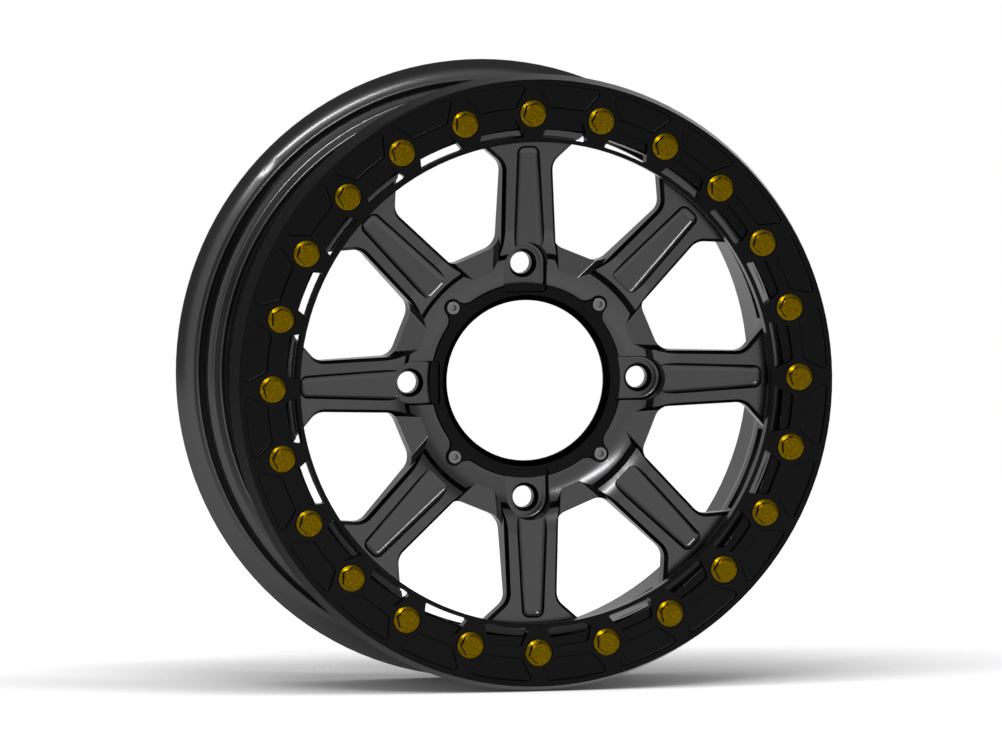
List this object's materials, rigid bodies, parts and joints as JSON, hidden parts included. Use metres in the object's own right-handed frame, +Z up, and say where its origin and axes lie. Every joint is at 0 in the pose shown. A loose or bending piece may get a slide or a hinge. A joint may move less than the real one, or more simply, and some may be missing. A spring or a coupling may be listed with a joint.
{
  "type": "beadlock wheel",
  "caption": "Off-road beadlock wheel: forged spoked rim with a bolted clamp ring, lug seats in the spokes and a screwed-on centre ring.",
  "frame": {"origin": "on the wheel's axis, in the plane of the hub mounting face", "axes": "+Y along the axis towards the vehicle, so the outboard face looks along -Y; +Z up"},
  "size_m": [0.4118, 0.184, 0.4116],
  "materials": {
    "gunmetal": "satin gunmetal coating on forged aluminium",
    "black_ring": "satin black coating on machined aluminium",
    "gold_bolt": "yellow zinc plated steel",
    "black_cap": "satin black coating on machined aluminium",
    "silver_screw": "plain bright zinc plated steel"
  },
  "bodies": {
    "root": {"wheel": "gunmetal", "beadlock_ring": "black_ring", "beadlock_bolts": "gold_bolt", "centre_ring": "black_cap", "centre_ring_screws": "silver_screw"}
  },
  "joints": []
}
